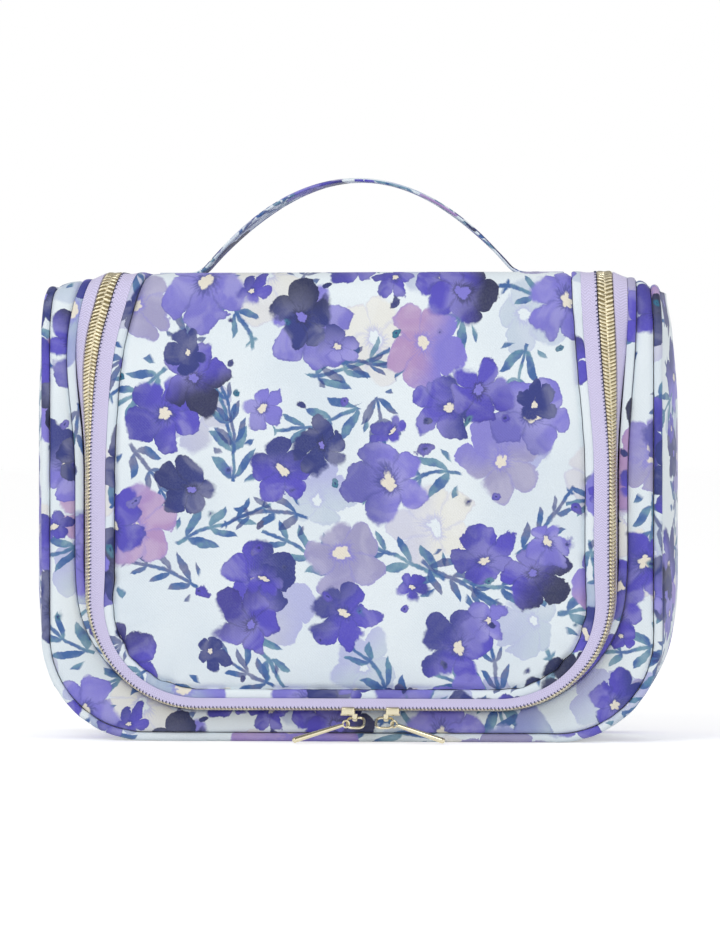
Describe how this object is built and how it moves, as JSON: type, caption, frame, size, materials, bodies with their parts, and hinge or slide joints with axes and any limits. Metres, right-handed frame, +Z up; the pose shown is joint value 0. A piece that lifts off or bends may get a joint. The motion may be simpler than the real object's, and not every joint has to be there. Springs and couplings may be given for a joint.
{
  "type": "hanging toiletry bag",
  "caption": "Padded cloth toiletry bag with a zipped lid that folds up over the top, a strap handle, inner pockets and a swivel hook for hanging it open.",
  "frame": {"origin": "on the base, under the middle of the body", "axes": "+Z up, -Y out of the front face, +X to the right along the width"},
  "size_m": [0.236, 0.1038, 0.2147],
  "materials": {
    "print_cloth": "coated cotton, printed, soft sheen",
    "print_binding": "coated cotton, printed, folded strip",
    "zip_tape": "herringbone woven tape, lilac",
    "zip_teeth": "metallised coil, pale gold",
    "pale_gold": "plated, polished",
    "lining": "plain woven lining",
    "foam": "closed-cell foam board, hidden",
    "net": "knitted net",
    "elastic": "folded elastic tape",
    "webbing": "woven webbing"
  },
  "bodies": {
    "bag_body": {"side_gusset": "print_cloth", "gusset_foam": "foam", "back_panel": "print_cloth", "back_foam_board": "foam", "back_piping": "print_binding", "body_lining": "lining", "body_zip_teeth": "zip_teeth", "body_zip_tape": "zip_tape", "body_binding": "print_binding", "front_border": "print_cloth", "front_piping": "print_binding", "zip_end_tab_left": "print_binding", "zip_end_tab_right": "print_binding", "slip_pocket_frame": "lining", "slip_pocket_panel": "lining", "slip_pocket_elastic": "elastic"},
    "top_flap": {"top_panel": "print_cloth", "top_foam_board": "foam", "top_lining": "lining", "top_binding_left": "print_binding", "top_binding_right": "print_binding", "top_zip_tape_left": "zip_tape", "top_zip_tape_right": "zip_tape", "top_zip_teeth_left": "zip_teeth", "top_zip_teeth_right": "zip_teeth", "handle_tab_left": "print_cloth", "handle_tab_right": "print_cloth"},
    "handle": {"handle_strap": "print_cloth"},
    "front_lid": {"front_panel": "print_cloth", "lid_foam_board": "foam", "lid_lining": "lining", "lid_binding": "print_binding", "lid_zip_tape": "zip_tape", "lid_zip_teeth": "zip_teeth", "lid_pocket_frame": "print_binding", "lid_pocket_net": "net", "lid_pocket_elastic": "elastic", "hook_tab": "webbing"},
    "hook_strap": {"hook_webbing": "webbing", "hook_ring": "pale_gold", "hook_swivel": "pale_gold"},
    "hook_wire": {"hook": "pale_gold"},
    "left_slider": {"slider_left": "pale_gold"},
    "left_bail": {"slider_bail_left": "pale_gold"},
    "left_pull": {"pull_bar_left": "pale_gold"},
    "right_slider": {"slider_right": "pale_gold"},
    "right_bail": {"slider_bail_right": "pale_gold"},
    "right_pull": {"pull_bar_right": "pale_gold"}
  },
  "joints": [
    {"name": "top_hinge", "type": "hinge", "parent": "bag_body", "child": "top_flap", "pos_m": [0, 0.042, 0.175], "axis": [-1, 0, 0], "range_deg": [0, 90]},
    {"name": "front_fold", "type": "hinge", "parent": "top_flap", "child": "front_lid", "pos_m": [0, -0.046, 0.179], "axis": [-1, 0, 0], "range_deg": [0, 90]},
    {"name": "handle_swing", "type": "hinge", "parent": "top_flap", "child": "handle", "pos_m": [0, 0, 0.1793], "axis": [1, 0, 0], "range_deg": [-40, 40], "stiffness_Nm_per_rad": 0.02},
    {"name": "hook_flip", "type": "hinge", "parent": "front_lid", "child": "hook_strap", "pos_m": [0, -0.0415, 0.0308], "axis": [-1, 0, 0], "range_deg": [0, 95]},
    {"name": "hook_swivel_turn", "type": "hinge", "parent": "hook_strap", "child": "hook_wire", "pos_m": [0, -0.0321, 0.0574], "axis": [0, 0, 1], "range_deg": [0, 180]},
    {"name": "left_slider_run", "type": "slide", "parent": "front_lid", "child": "left_slider", "axis": [-1, 0, 0], "range_m": [0, 0.046]},
    {"name": "left_bail_tilt", "type": "hinge", "parent": "left_slider", "child": "left_bail", "pos_m": [0.00305, -0.05098, 0.0096], "axis": [1, 0, 0], "range_deg": [-44, 0]},
    {"name": "left_pull_swing", "type": "hinge", "parent": "left_bail", "child": "left_pull", "pos_m": [-0.00055, -0.05365, 0.00736], "axis": [-0.342, 0.9397, 0], "range_deg": [0, 100]},
    {"name": "right_slider_run", "type": "slide", "parent": "front_lid", "child": "right_slider", "axis": [1, 0, 0], "range_m": [0, 0.0325]},
    {"name": "right_bail_tilt", "type": "hinge", "parent": "right_slider", "child": "right_bail", "pos_m": [0.01395, -0.05098, 0.0096], "axis": [1, 0, 0], "range_deg": [-44, 0]},
    {"name": "right_pull_swing", "type": "hinge", "parent": "right_bail", "child": "right_pull", "pos_m": [0.01755, -0.05365, 0.00736], "axis": [-0.342, -0.9397, 0], "range_deg": [0, 100]}
  ]
}
